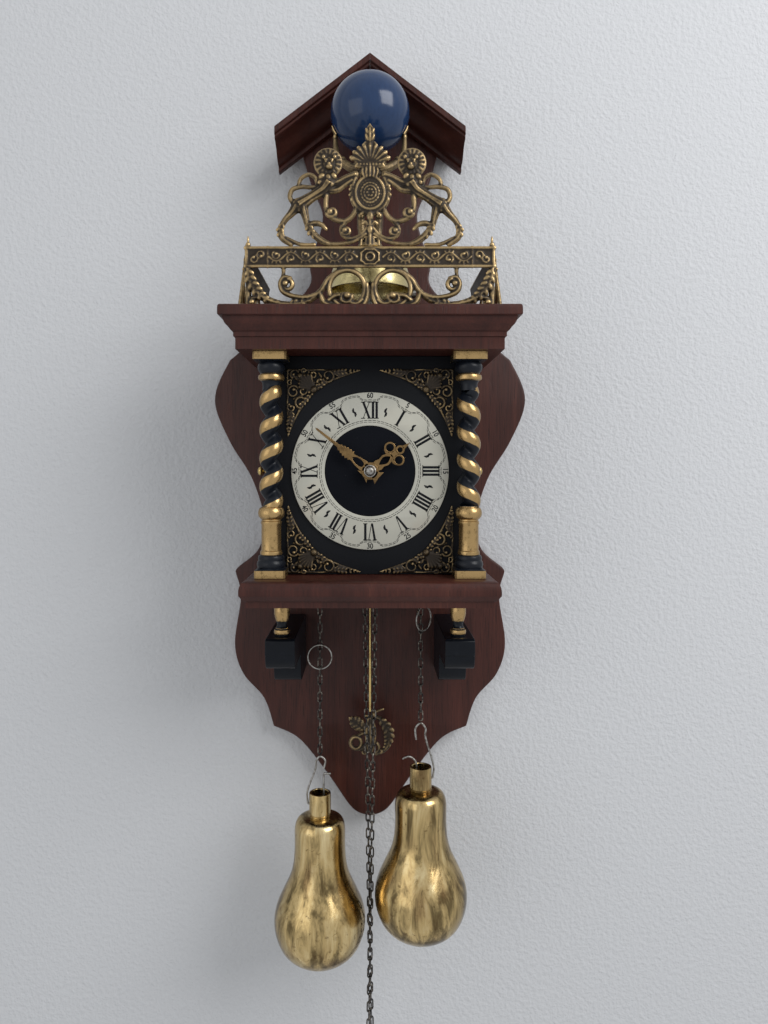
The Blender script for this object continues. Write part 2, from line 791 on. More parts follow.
def hands():
    bore = PIPE_OUTER - SINK
    plate = hand_plate(HOUR_SHARES, HOUR_HOLE_SHARES, HOUR_LONG, bore, HOUR_FRONT, HOUR_AT_DEG)
    part(joined([plate, hour_pipe()]), "hour_hand", CAST)
    bore = ARBOR_RADIUS + GAP
    plate = hand_plate(MINUTE_SHARES, MINUTE_HOLE_SHARES, MINUTE_LONG, bore, MINUTE_FRONT, MINUTE_AT_DEG)
    part(plate, "minute_hand", CAST)
    profile = [(r * HAND_HUB, z * HAND_HUB) for r, z in NUT_SHARES]
    profile.extend([(bore, 0), (bore, HAND_HUB * NUT_BORE_SHARE), (0, HAND_HUB * NUT_BORE_SHARE)])
    nut = y_axis_part(turned(profile, COLUMN_SIDES), 0, MINUTE_FRONT + GAP, 0)
    part(nut, "hand_nut", POLISHED)


# Side doors

DOOR_Y_BACK = BOARD_THICK + DOOR_BACK_GAP
DOOR_Y_FRONT = PANEL_FRONT - PANEL_THICK - 2 * GAP
GLASS_LAP = 0.0040


def door(side, name, glass_name, knob_name):
    low = -CLEAR_BELOW + GAP
    high = CLEAR_ABOVE - GAP
    inner = side * (DOOR_OUTER - DOOR_THICK)
    outer = side * DOOR_OUTER
    left, right = min(inner, outer), max(inner, outer)
    frame = box((left, -DOOR_Y_FRONT, low), (right, -DOOR_Y_BACK, high))
    window = box(
        (left - OVERRUN, -DOOR_Y_FRONT + DOOR_STILE, low + DOOR_STILE),
        (right + OVERRUN, -DOOR_Y_BACK - DOOR_STILE, high - DOOR_STILE),
    )
    lap = DOOR_STILE - GLASS_LAP
    rebate_face = side * (DOOR_OUTER - DOOR_THICK + GLASS_THICK + 2 * GAP)
    rebate = box(
        (min(rebate_face, inner - side * OVERRUN), -DOOR_Y_FRONT + lap, low + lap),
        (max(rebate_face, inner - side * OVERRUN), -DOOR_Y_BACK - lap, high - lap),
    )
    frame = cut(frame, [window, rebate])
    axis_x = side * HINGE_X
    pins = [
        rod((axis_x, -HINGE_Y, end), (axis_x, -HINGE_Y, start), HINGE_RADIUS)
        for start, end in ((high - SINK, high + HINGE_LONG), (low - HINGE_LONG, low + SINK))
    ]
    part(joined([frame, *pins]), name, WOOD)
    glass_in = side * (DOOR_OUTER - DOOR_THICK + GAP)
    glass_out = side * (DOOR_OUTER - DOOR_THICK + GAP + GLASS_THICK)
    pane = box(
        (min(glass_in, glass_out), -DOOR_Y_FRONT + lap + GAP, low + lap + GAP),
        (max(glass_in, glass_out), -DOOR_Y_BACK - lap - GAP, high - lap - GAP),
    )
    part(pane, glass_name, GLASS)
    profile = [(r * KNOB_RADIUS, z * KNOB_RADIUS) for r, z in KNOB_SHARES]
    knob = turned(profile, BORE_SIDES)
    lay = Matrix.Rotation(side * math.radians(90), 4, "Y")
    place = shift(side * (DOOR_OUTER + GAP), -DOOR_Y_FRONT + DOOR_STILE / 2, 0)
    part(moved(knob, place @ lay), knob_name, POLISHED)


KNOB_SHARES = (
    (0.0, 2.3), (0.6, 2.2), (1.0, 1.8), (1.0, 1.4), (0.45, 0.9), (0.45, 0.3), (0.8, 0.2), (0.8, 0.0), (0.0, 0.0),
)

# Gallery

BAND_RIM_SHARE = 0.11
FRET_TOP = GALLERY_TOP - BAND_TALL
FRET_LOW = CORNICE_TOP + GAP
# Lines of the right half of the fret: points (share of the half width, share of the fret's height), then tapers
FRET_LINE_SHARES = (
    (((0.985, 0.97), (0.955, 0.60), (0.86, 0.28), (0.70, 0.10), (0.52, 0.16), (0.40, 0.42),
      (0.33, 0.74), (0.22, 0.97)), (1.5, 1.7, 1.6, 1.4, 1.3, 1.3, 1.2, 1.0)),
    (((0.40, 0.40), (0.50, 0.30), (0.64, 0.34), (0.72, 0.52), (0.71, 0.74), (0.65, 0.70)),
     (1.1, 1.2, 1.2, 1.1, 1.0, 1.5)),
    (((0.71, 0.70), (0.705, 0.88), (0.71, 1.02)), (0.8, 0.8, 0.9)),
    (((0.79, 0.21), (0.87, 0.25), (0.945, 0.18), (0.99, 0.05)), (1.1, 1.3, 1.3, 1.1)),
    (((0.30, 0.02), (0.37, 0.14), (0.41, 0.42)), (1.8, 1.4, 1.1)),
)
# The same with x as a share of the way from the middle to a loop's centre
LOOP_LINE_SHARES = (
    (((0.324, 0.02), (0.162, 0.22), (0.108, 0.40)), (1.4, 1.2, 1.0)),
    (((1.08, 0.27), (1.03, 0.05)), (1.0, 1.0)),
)
LOOP_UP_SHARE = 0.50
LOOP_RADIUS_SHARE = 0.44  # of the fret's height
LOOP_WIRE_SHARE = 1.2
VOLUTE_SHARE = (1.08, 0.27, 0.16)
CORNER_POST_SHARE = 0.018
FINIAL_SHARES = (0.022, 0.022, 0.07)


def fret_point(x, z, layer=0):
    """A point of the fret. The layer keeps two wires from lying in one plane."""
    return (x * GALLERY_HALF, -layer * FRET_WIRE * LAYER_SHARE, FRET_LOW + z * (FRET_TOP - FRET_LOW))


def gallery_front():
    tall = FRET_TOP - FRET_LOW
    half = BAND_THICK / 2
    shapes = [box((-GALLERY_HALF, -half, FRET_TOP), (GALLERY_HALF, half, GALLERY_TOP - SINK))]
    rim = BAND_TALL * BAND_RIM_SHARE
    for low in (FRET_TOP, GALLERY_TOP - rim):
        shapes.append(
            box((-GALLERY_HALF - rim, -half - rim, low - SINK), (GALLERY_HALF + rim, half + rim, low + rim))
        )
    for side in (-1, 1):
        for i, (points, taper) in enumerate(FRET_LINE_SHARES):
            line = [fret_point(side * x, z, i % 4) for x, z in points]
            shapes.append(tube(line, FRET_WIRE, taper, rounds=0))
        radius = LOOP_RADIUS_SHARE * tall
        loop_at = (radius + LOOP_APART) / GALLERY_HALF
        for i, (points, taper) in enumerate(LOOP_LINE_SHARES):
            line = [fret_point(side * x * loop_at, z, 2 * i) for x, z in points]
            shapes.append(tube(line, FRET_WIRE, taper, rounds=0))
        centre = Vector(fret_point(side * loop_at, LOOP_UP_SHARE))
        ring = [
            centre + Vector((radius * math.cos(a), 0, radius * math.sin(a)))
            for a in (2 * math.pi * i / COLUMN_SIDES for i in range(COLUMN_SIDES))
        ]
        shapes.append(tube(ring, FRET_WIRE * LOOP_WIRE_SHARE, closed=True))
        x, z, size = VOLUTE_SHARE
        shapes.append(ball(fret_point(side * x * loop_at, z), [size * tall / 2] * 3, 8, 6))
        post = CORNER_POST_SHARE * GALLERY_HALF
        x = side * (GALLERY_HALF - post)
        shapes.append(box((x - post, -post, FRET_LOW), (x + post, post, FRET_TOP + SINK)))
        radii = [share * GALLERY_HALF for share in FINIAL_SHARES]
        shapes.append(ball((x, 0, GALLERY_TOP + radii[0]), radii, 8, 6))
    shape = footed(shapes, FRET_LOW)
    part(moved(shape, shift(0, -GALLERY_Y, 0)), "gallery_front", CAST)


SIDE_LINE_SHARES = (
    (((0.012, 0.16), (0.10, 0.30), (0.24, 0.13), (0.40, 0.20), (0.47, 0.60), (0.36, 0.86), (0.27, 0.62)),
     (1.5, 1.4, 1.3, 1.3, 1.2, 1.1, 1.6)),
    (((0.53, 0.98), (0.52, 0.55), (0.62, 0.14), (0.80, 0.16), (0.88, 0.55), (0.78, 0.84), (0.70, 0.60)),
     (1.0, 1.2, 1.4, 1.3, 1.2, 1.1, 1.6)),
    (((0.19, 0.18), (0.12, 0.60), (0.018, 0.93)), (1.2, 1.4, 1.4)),
    (((0.82, 0.20), (0.92, 0.42), (0.985, 0.90)), (1.2, 1.3, 1.2)),
)

def gallery_side(side, name):
    lean = side * math.radians(SIDE_GALLERY_LEAN_DEG)
    long = SIDE_GALLERY_LONG
    tall = FRET_TOP - FRET_LOW
    band = BAND_TALL
    half = BAND_THICK / 2
    shapes = [box((-half, -long, tall), (half, 0, tall + band - SINK))]
    rim = band * BAND_RIM_SHARE
    post = CORNER_POST_SHARE * GALLERY_HALF
    foot = half * math.sin(abs(lean)) + GAP
    for y in (-long + post, -post):
        shapes.append(box((-post, y - post, foot), (post, y + post, tall + SINK)))
    for low in (tall, tall + band - rim):
        shapes.append(box((-half - rim, -long - rim, low - SINK), (half + rim, rim, low + rim)))
    for i, (points, taper) in enumerate(SIDE_LINE_SHARES):
        aside = i * FRET_WIRE * LAYER_SHARE
        line = [(aside, -y * long, max(z * tall, FRET_WIRE * 2)) for y, z in points]
        shapes.append(tube(line, FRET_WIRE, taper, rounds=0))
    shape = joined(shapes)
    turn = Matrix.Rotation(-lean, 4, "Y")
    y = -GALLERY_Y + long + half + 2 * rim + GAP
    lift = shift(side * (GALLERY_HALF + SIDE_GALLERY_OUT + tall * math.sin(abs(lean)) / 2), y, CORNICE_TOP)
    part(moved(shape, lift @ turn), name, CAST)


# Crest

# The left half of the crest, in shares of its half width and height: points, then tapers of CREST_ROD
CREST_ROD = 0.0024
CREST_LINE_SHARES = (
    (((-0.455, 0.58), (-0.46, 0.49), (-0.56, 0.41), (-0.70, 0.34), (-0.80, 0.28)), (1.5, 2.1, 1.9, 1.8, 2.0)),
    (((-0.44, 0.48), (-0.36, 0.53), (-0.27, 0.60), (-0.10, 0.63)), (1.5, 1.2, 1.0, 0.8)),
    (((-0.56, 0.38), (-0.46, 0.36), (-0.36, 0.42), (-0.14, 0.46)), (1.1, 1.0, 0.9, 0.7)),
    (((-0.80, 0.30), (-0.90, 0.23), (-0.96, 0.17), (-0.98, 0.10), (-0.93, 0.05), (-0.80, 0.015)),
     (1.7, 1.3, 1.0, 1.1, 1.2, 1.0)),
    (((-0.74, 0.30), (-0.72, 0.19), (-0.66, 0.12), (-0.56, 0.055), (-0.44, 0.01)), (1.7, 1.3, 1.2, 1.2, 1.0)),
    (((-0.82, 0.29), (-0.88, 0.38), (-0.86, 0.455), (-0.72, 0.46), (-0.58, 0.45)), (0.9, 0.9, 0.9, 0.9, 0.7)),
    (((-0.85, 0.43), (-0.80, 0.52), (-0.71, 0.555), (-0.63, 0.52), (-0.61, 0.44)), (0.8, 0.8, 0.8, 0.8, 0.8)),
    (((-0.54, 0.28), (-0.53, 0.20), (-0.45, 0.165), (-0.33, 0.17), (-0.21, 0.26), (-0.11, 0.38)),
     (0.9, 0.9, 0.9, 0.9, 0.9, 0.9)),
    (((-0.37, 0.17), (-0.34, 0.08), (-0.24, 0.06), (-0.10, 0.12), (-0.012, 0.22)),
     (0.9, 0.9, 0.8, 0.8, 0.9)),
    (((-0.36, 0.15), (-0.45, 0.07), (-0.57, 0.025)), (0.8, 0.8, 0.9)),
)
THIN_FROM = 5  # the lines from this one on are thin
LAYER_SHARE = 0.09
CREST_BALL_SHARES = (  # share of the half width, of the height, then radii in rods
    (-0.463, 0.69, 5.0, 5.2), (-0.45, 0.575, 4.3, 4.6), (-0.49, 0.27, 2.2, 2.2), (-0.355, 0.125, 1.8, 1.8),
)
BALL_DEEP_SHARE = 3.4
CROWN_FAN = 0.0125
STEM_SHARES = ((0.005, 1.3), (0.20, 1.1), (0.36, 1.6))  # share of the height, then of CREST_ROD
CROWN_BODY_SHARES = (4.2, 1.5, 3.8)
CROWN_SHARES = (0.72, 0.60)  # the fan's centre and the foot of the crown
SHIELD_RADII = (0.0126, 0.0032, 0.0140)
SHIELD_SHARE = 0.45
BUD_RADII = (0.0032, 0.0030, 0.0082)


def crest_point(x, z, layer=0):
    """A point of the crest. The layer sets it a little forward, so that no two rods lie in one plane."""
    return (x * CREST_HALF, -layer * CREST_ROD * LAYER_SHARE, z * CREST_TALL)


def crest():
    fan_z, foot_z = CROWN_SHARES
    fan_centre = Vector(crest_point(0, fan_z))
    shapes = [tube([crest_point(0, z) for z, _ in STEM_SHARES], CREST_ROD, [size for _, size in STEM_SHARES])]
    shapes.append(ball(crest_point(0, SHIELD_SHARE), SHIELD_RADII, 14, 6))
    shapes.append(
        ball(crest_point(0, (fan_z + foot_z) / 2), [share * CREST_ROD for share in CROWN_BODY_SHARES], 10, 6)
    )
    shapes.append(ball(fan_centre, (CROWN_FAN, CREST_ROD, CROWN_FAN), 14, 6))
    bud = Vector(crest_point(0, 1)) - Vector((0, 0, BUD_RADII[2]))
    shapes.append(ball(bud, BUD_RADII, 8, 6))
    for side in (-1, 1):
        for i, (points, taper) in enumerate(CREST_LINE_SHARES):
            line = [crest_point(-side * x, z, i % 4) for x, z in points]
            shapes.append(tube(line, CREST_ROD, taper, rounds=int(i < THIN_FROM)))
        for x, z, wide, tall in CREST_BALL_SHARES:
            radii = (wide * CREST_ROD / 2, min(wide, BALL_DEEP_SHARE) * CREST_ROD / 2, tall * CREST_ROD / 2)
            shapes.append(ball(crest_point(-side * x, z, 5), radii, 8, 6))
    shape = footed(shapes, 0)
    moved(shape, Matrix.Diagonal((1, CREST_FLAT_SHARE, 1, 1)))
    part(moved(shape, shift(0, -GALLERY_Y, GALLERY_TOP + GAP)), "crest", CAST)


# Bell, its post, the figure and the globe

# (share of the radius, share of the height), outer side from the top
BELL_SHARES = (
    (0.0, 1.0), (0.30, 0.98), (0.56, 0.90), (0.76, 0.76), (0.88, 0.56), (0.94, 0.30), (0.96, 0.12), (1.0, 0.0),
)


def bell():
    hole = POST_RADIUS + GAP
    outer = [(max(r * BELL_RADIUS, hole), z * BELL_TALL) for r, z in BELL_SHARES]
    inner = [
        (max(r * (BELL_RADIUS - BELL_WALL), hole), z * (BELL_TALL - BELL_WALL)) for r, z in reversed(BELL_SHARES)
    ]
    shape = turned(outer + inner, TURN_STEPS, closed=True)
    part(moved(shape, shift(0, -BELL_Y, BELL_RIM_Z)), "bell", POLISHED)


POST_FOOT = 0.0070
POST_SHOULDER = 0.0045
NUT_TALL = 0.0040


def bell_post():
    low = CORNICE_TOP + GAP
    crown_under = BELL_RIM_Z + BELL_TALL - BELL_WALL
    top = BELL_RIM_Z + BELL_TALL + NUT_TALL
    profile = (
        (0, top), (POST_RADIUS, top), (POST_RADIUS, crown_under - GAP), (POST_SHOULDER, crown_under - GAP),
        (POST_SHOULDER, crown_under - POST_SHOULDER), (POST_RADIUS, crown_under - POST_FOOT),
        (POST_RADIUS, low + POST_FOOT), (POST_FOOT, low + POST_RADIUS), (POST_FOOT, low), (0, low),
    )
    part(moved(turned(profile, BORE_SIDES), shift(0, -BELL_Y, 0)), "bell_post", IRON)


# The figure's limbs for one side, in shares of its height: (across, back, up), then radii shares
FIGURE_LIMB_SHARES = (
    (((0.08, -0.02, 0.02), (0.09, 0.0, 0.28), (0.06, 0.02, 0.48)), (0.034, 0.042, 0.062)),
)
FIGURE_ARM_SHARES = (((0.04, 0.05, 0.76), (0.20, 0.07, 0.80), (0.335, 0.12, 0.93)), (0.058, 0.048, 0.038, 0.022))
PALM_SHARES = (0.824, 0.0, -0.567)  # from the globe's centre towards the palm
PALM_RADIUS = 0.0024
FIGURE_TORSO_SHARES = (
    ((0.0, 0.02, 0.44), (0.0, 0.03, 0.56), (0.0, 0.05, 0.70), (0.0, 0.06, 0.80), (0.0, 0.07, 0.86)),
    (0.115, 0.085, 0.115, 0.060, 0.045),
)
FIGURE_KILT_SHARES = (((0.0, 0.01, 0.34), (0.0, 0.02, 0.47), (0.0, 0.02, 0.54)), (0.155, 0.120, 0.085))
HEAD_RADII_SHARE = (0.060, 0.068, 0.074)
HEAD_UP_SHARE = 0.915
HEAD_BACK_SHARE = 0.075
FOOT_DISC_SHARE = 0.125


def figure():
    """It stands on a round foot that screws on the bell's post and holds the bell down."""
    tall = FIGURE_TALL
    low = BELL_RIM_Z + BELL_TALL + GAP + NUT_TALL

    def place(point, side=1):
        x, back, up = point
        return (side * x * tall, back * tall, up * tall)

    wide = FOOT_DISC_SHARE * tall
    bore = POST_RADIUS + GAP
    socket = ((0, NUT_TALL), (wide, NUT_TALL), (wide, -NUT_TALL), (bore, -NUT_TALL), (bore, 0), (0, 0))
    shapes = [turned(socket, COLUMN_SIDES)]
    for points, radii in (FIGURE_TORSO_SHARES, FIGURE_KILT_SHARES):
        shapes.append(tube([place(p) for p in points], tall, radii, rounds=2))
    for side in (-1, 1):
        for points, radii in FIGURE_LIMB_SHARES:
            shapes.append(tube([place(p, side) for p in points], tall, radii))
        across, back, up = (share * (GLOBE_RADIUS + GAP + PALM_RADIUS) for share in PALM_SHARES)
        palm = (side * across, back + BELL_Y - GLOBE_Y, up + GLOBE_Z - low)
        points, radii = FIGURE_ARM_SHARES
        shapes.append(tube([*(place(p, side) for p in points), palm], tall, radii))
        shapes.append(ball(palm, [PALM_RADIUS] * 3, 8, 6))
    shapes.append(
        ball(place((0, HEAD_BACK_SHARE, HEAD_UP_SHARE)), [share * tall for share in HEAD_RADII_SHARE], 10, 8)
    )
    shape = joined(shapes)
    part(moved(shape, shift(0, -BELL_Y, low)), "figure", CAST)


GLOBE_SIDES = 20


def globe():
    shape = ball((0, -GLOBE_Y, GLOBE_Z), [GLOBE_RADIUS] * 3, GLOBE_SIDES, GLOBE_SIDES // 2)
    part(shape, "globe", GLAZE)


# Chains, hooks, rings and weights

# (share of the radius, share of the height), from the rim of the neck down
WEIGHT_SHARES = (
    (0.48, 0.150), (0.535, 0.160), (0.555, 0.185), (0.552, 0.30), (0.575, 0.40), (0.66, 0.49),
    (0.80, 0.57), (0.94, 0.655), (1.0, 0.735), (0.965, 0.82), (0.82, 0.905), (0.56, 0.965), (0.26, 0.995), (0.0, 1.0),
)
NECK_LOW_SHARE = 0.140
NECK_CHAMFER = 0.0008


def weight(side, name, y, rim_z):
    tall = WEIGHT_TALL
    profile = [(0, -NECK_DEEP), (NECK_BORE, -NECK_DEEP), (NECK_BORE, 0), (NECK_RADIUS - NECK_CHAMFER, 0),
               (NECK_RADIUS, -NECK_CHAMFER), (NECK_RADIUS, -NECK_LOW_SHARE * tall)]
    profile.extend((r * WEIGHT_RADIUS, -z * tall) for r, z in WEIGHT_SHARES)
    shape = turned(profile)
    drill = rod(
        (side * NECK_BORE / 2, 0, -HOOK_HOLE_DOWN), (side * (NECK_RADIUS + OVERRUN), 0, -HOOK_HOLE_DOWN), HOOK_HOLE
    )
    shape = cut(shape, [drill])
    x = side * (SPROCKET_X + LANE)
    part(moved(shape, shift(x, -y, -rim_z)), name, POLISHED)


# The hook's bends above the rim, in shares of the chain end's height over the rim: (outward, up)
TIME_HOOK_SHARES = ((-0.10, 0.66), (-0.14, 0.88), (0.0, 0.985), (0.10, 0.86), (0.12, 0.66))
STRIKE_HOOK_SHARES = ((-0.10, 0.62), (-0.12, 0.86), (0.0, 0.985), (0.11, 0.86), (0.11, 0.66))
HOOK_SIDE_GAP = 0.0005
HOOK_INSIDE = 0.0030
TIME_CURL = ((0.0, 0.0130), (-0.0020, 0.0148), (-0.0057, 0.0150))
STRIKE_CURL = ((-0.0008, 0.0030), (-0.0060, 0.0076), (-0.0115, 0.0058))


def hook(side, name, y, rim_z, end_z, shares, curl):
    """A bent wire: a loop under the chain, down outside the neck, in through its hole and up again."""
    rise = rim_z - end_z
    inside = -HOOK_INSIDE
    outside = NECK_RADIUS + HOOK_WIRE + HOOK_SIDE_GAP
    level = -HOOK_HOLE_DOWN + (HOOK_HOLE - HOOK_WIRE) * HOLE_SEAT_SHARE
    points = [(across * rise, (up * rise) - HOOK_WIRE) for across, up in shares]
    points.extend([(outside, HOOK_WIRE * 2), (outside, level + HOOK_WIRE * 3), (outside - HOOK_WIRE, level)])
    points.extend([(NECK_BORE - HOOK_WIRE, level), (inside + HOOK_WIRE * 2, level), (inside, level + HOOK_WIRE * 2)])
    points.extend((inside + dx, dz) for dx, dz in curl)
    x = side * (SPROCKET_X + LANE)
    line = [(x + side * a, -y, -rim_z + b) for a, b in points]
    part(tube(line, HOOK_WIRE), name, IRON)


HOLE_SEAT_SHARE = 0.45


def straight(start, end, name):
    return part(tube([start, end], CHAIN_RADIUS), name, IRON)


def ring(centre, radius, wire, turn_deg):
    points = [(radius * math.cos(a), 0, radius * math.sin(a)) for a in
              (2 * math.pi * i / 16 for i in range(16))]
    shape = tube(points, wire, closed=True)
    turn = Matrix.Rotation(math.radians(turn_deg), 4, "Z")
    return moved(shape, Matrix.Translation(centre) @ turn)


ARC_FROM = math.radians(46)
ARC_STEPS = 8


def chain_set(side, label, y, chain_end, free_end, ring_z, ring_turn, ring_side):
    """One chain: the run to the weight, the arc over the sprocket and the free run."""
    lane = side * (SPROCKET_X + LANE)
    top = -SPROCKET_Z + WEIGHT_DROP + CHAIN_RADIUS
    straight((lane, -y, top), (lane, -y, -chain_end), label + "_chain_to_weight")
    centre = Vector((side * SPROCKET_X, -y, -SPROCKET_Z))
    span = math.pi - 2 * ARC_FROM
    arc = [
        centre + Vector((LANE * math.cos(a), 0, LANE * math.sin(a)))
        for a in (ARC_FROM + span * i / ARC_STEPS for i in range(ARC_STEPS + 1))
    ]
    part(tube(arc, CHAIN_RADIUS), label + "_chain_arc", IRON)
    inner = side * (SPROCKET_X - LANE)
    free_top = -SPROCKET_Z + WEIGHT_LIFT + CHAIN_RADIUS
    lean = -side * FREE_LEAN_SHARE

    def on_run(z):
        return Vector((inner + lean * (-SPROCKET_Z - z), -y, z))

    end = on_run(-free_end)
    run = tube([on_run(free_top), end], CHAIN_RADIUS)
    drop = Vector((0, 0, END_RING - END_WIRE / 2))
    part(joined([run, ring(end - drop, END_RING, END_WIRE, 0)]), label + "_free_chain", IRON)
    out = CHAIN_RADIUS + STOP_WIRE + GAP
    turn = math.radians(ring_turn)
    aside = Vector((ring_side * math.sin(turn), -abs(math.cos(turn)), 0)) * out
    place = Vector((lane, -y, -ring_z)) + aside
    part(ring(place, STOP_RING, STOP_WIRE, ring_turn), label + "_stop_ring", IRON)


# Pendulum

BOB_LINE_SHARES = (  # shares of half the bob's span: (across, up), then tapers of BOB_ROD
    (((0.0, 0.95), (0.55, 0.75), (0.92, 0.30), (0.95, -0.25), (0.70, -0.75), (0.30, -0.98)),
     (1.0, 1.5, 1.9, 1.8, 1.4, 0.9)),
    (((-0.10, 0.30), (-0.50, 0.20), (-0.88, -0.10), (-0.95, -0.55), (-0.62, -0.90), (-0.20, -0.75), (0.0, -0.35)),
     (1.4, 1.4, 1.3, 1.2, 1.2, 1.1, 1.1)),
    (((-0.10, 0.35), (-0.45, 0.40), (-0.80, 0.60), (-0.88, 0.95), (-0.55, 0.98), (-0.35, 0.65)),
     (1.3, 1.3, 1.3, 1.1, 1.0, 1.2)),
    (((0.16, 0.88), (0.35, 1.10), (0.65, 1.25)), (1.3, 1.0, 0.6)),
    (((0.0, -0.35), (0.35, -0.45), (0.45, -0.75), (0.30, -0.98)), (1.1, 1.1, 1.0, 0.9)),
)
BOB_ROD = 0.0022
BOB_CORE_SHARES = (0.30, 0.14, 0.95)
COCK_HALF = 0.0040
COCK_TALL = 0.0060
COCK_OVER = 0.0030
ROD_HEAD = 0.0022


def pendulum():
    top = PENDULUM_PIVOT + COCK_OVER - GAP
    bob_half = BOB_SPAN / 2
    rod_low = -BOB_Z + bob_half * BOB_CORE_SHARES[2] + BOB_ROD + GAP
    shape = joined([
        rod((0, 0, rod_low), (0, 0, top - SINK), ROD_RADIUS),
        rod((0, 0, top - ROD_HEAD), (0, 0, top), ROD_HEAD),
    ])
    part(moved(shape, shift(0, -PENDULUM_Y, 0)), "pendulum_rod", POLISHED)
    core = [share * bob_half for share in BOB_CORE_SHARES]
    shapes = [ball((0, 0, 0), core, 10, 8)]
    for points, taper in BOB_LINE_SHARES:
        shapes.append(tube([(x * bob_half, 0, z * bob_half) for x, z in points], BOB_ROD, taper))
    part(moved(joined(shapes), shift(0, -PENDULUM_Y, -BOB_Z)), "pendulum_bob", CAST)


# Movement


def bores(radius_by_place):
    return [circle(radius + RUNNING, BORE_SIDES, place) for place, radius in radius_by_place]


ARBOR_PLACES = (
    ((0, 0), ARBOR_RADIUS), ((-SPROCKET_X, -SPROCKET_Z), GREAT_ARBOR), ((SPROCKET_X, -SPROCKET_Z), GREAT_ARBOR),
    ((THIRD_X, THIRD_Z), ARBOR_RADIUS), ((0, ESCAPE_Z), ARBOR_RADIUS), ((0, PENDULUM_PIVOT), ARBOR_RADIUS),
    ((HAMMER_X, HAMMER_Z), ARBOR_RADIUS),
)
PILLAR_DROP_SHARE = 0.90


def plates():
    low = -CLEAR_BELOW + GAP
    inner = PLATE_HALF - PLATE_FOOT
    side = [(PLATE_HALF, PLATE_TOP), (PLATE_HALF, low), (inner, low), (inner, -PLATE_LOW)]
    loops = [side + mirrored(side[::-1]), *bores(ARBOR_PLACES)]
    front = flat(loops, PLATE_THICK, facing_at(0, FRONT_PLATE_Y, PLATE_THICK, 0))
    part(front, "front_plate", POLISHED)
    back = flat(loops, PLATE_THICK, facing_at(0, BACK_PLATE_Y, PLATE_THICK, 0))
    pillars = [
        rod((x, -BACK_PLATE_Y + SINK, z), (x, -FRONT_PLATE_Y + PLATE_THICK + GAP, z), PILLAR_RADIUS)
        for x in (-PILLAR_X, PILLAR_X)
        for z in (low * PILLAR_DROP_SHARE, PLATE_TOP * PILLAR_DROP_SHARE)
    ]
    cock = box(
        (-COCK_HALF, -BACK_PLATE_Y + SINK, PENDULUM_PIVOT + COCK_OVER),
        (COCK_HALF, -PENDULUM_Y + COCK_HALF, PENDULUM_PIVOT + COCK_OVER + COCK_TALL),
    )
    part(joined([back, cock, *pillars]), "back_plate", POLISHED)


def arbor(x, z, radius, back=BACK_PLATE_Y - PLATE_THICK, front=FRONT_PLATE_Y):
    return rod((x, -back, z), (x, -front, z), radius)


def wheel(radius, teeth, thick, x, front, z):
    """A toothed disc upright at this place, tips on the radius."""
    outline = []
    pitch = 2 * math.pi / teeth
    for i in range(teeth):
        for share, reach in zip(TOOTH_SHARES, (radius - TOOTH_DEEP, radius, radius, radius - TOOTH_DEEP)):
            angle = (i + share) * pitch
            outline.append((reach * math.cos(angle), reach * math.sin(angle)))
    return flat([outline], thick, facing_at(x, front, thick, z))


TOOTH_SHARES = (0.10, 0.30, 0.55, 0.75)
ESCAPE_TEETH = 12
THIRD_TEETH = 16
CENTRE_TEETH = 20
PINION_LONG = 0.0024
THIRD_PLANE = 0.0640
ESCAPE_PLANE = 0.0580
CENTRE_PLANE = 0.1015
WHEEL_SIDE_GAP = 0.0008
SPROCKET_WIDE = 0.0050


def distance(a, b):
    return math.hypot(a[0] - b[0], a[1] - b[1])


def pinion(x, middle, z, radius, sides=COLUMN_SIDES):
    half = PINION_LONG / 2
    return rod((x, -middle - half, z), (x, -middle + half, z), radius, sides)


def time_train():
    great = (-SPROCKET_X, -SPROCKET_Z)
    great_front = TIME_Y - CHAIN_RADIUS - WHEEL_SIDE_GAP
    shape = joined([
        wheel(GREAT_RADIUS, GREAT_TEETH, WHEEL_THICK, great[0], great_front, great[1]),
        arbor(great[0], great[1], GREAT_ARBOR),
    ])
    part(shape, "time_great_wheel", POLISHED)
    pinion_radius = distance(great, (0, 0)) - GREAT_RADIUS - RUNNING
    tip = MINUTE_FRONT + HAND_HUB * NUT_BORE_SHARE
    shape = joined([
        arbor(0, 0, ARBOR_RADIUS, front=tip),
        pinion(0, great_front - WHEEL_THICK / 2, 0, pinion_radius),
        wheel(CENTRE_RADIUS, CENTRE_TEETH, WHEEL_THICK, 0, CENTRE_PLANE, 0),
    ])
    part(shape, "centre_arbor", POLISHED)
    third = (THIRD_X, THIRD_Z)
    third_pinion = distance(third, (0, 0)) - CENTRE_RADIUS - RUNNING
    shape = joined([
        arbor(*third, ARBOR_RADIUS),
        pinion(third[0], CENTRE_PLANE - WHEEL_THICK / 2, third[1], third_pinion),
        wheel(THIRD_RADIUS, THIRD_TEETH, WHEEL_THICK, third[0], THIRD_PLANE, third[1]),
    ])
    part(shape, "third_arbor", POLISHED)
    escape_pinion = distance(third, (0, ESCAPE_Z)) - THIRD_RADIUS - RUNNING
    shape = joined([
        arbor(0, ESCAPE_Z, ARBOR_RADIUS),
        pinion(0, THIRD_PLANE - WHEEL_THICK / 2 + WHEEL_SIDE_GAP, ESCAPE_Z, escape_pinion),
        wheel(ESCAPE_RADIUS, ESCAPE_TEETH, WHEEL_THICK, 0, ESCAPE_PLANE, ESCAPE_Z),
    ])
    part(shape, "escape_arbor", POLISHED)


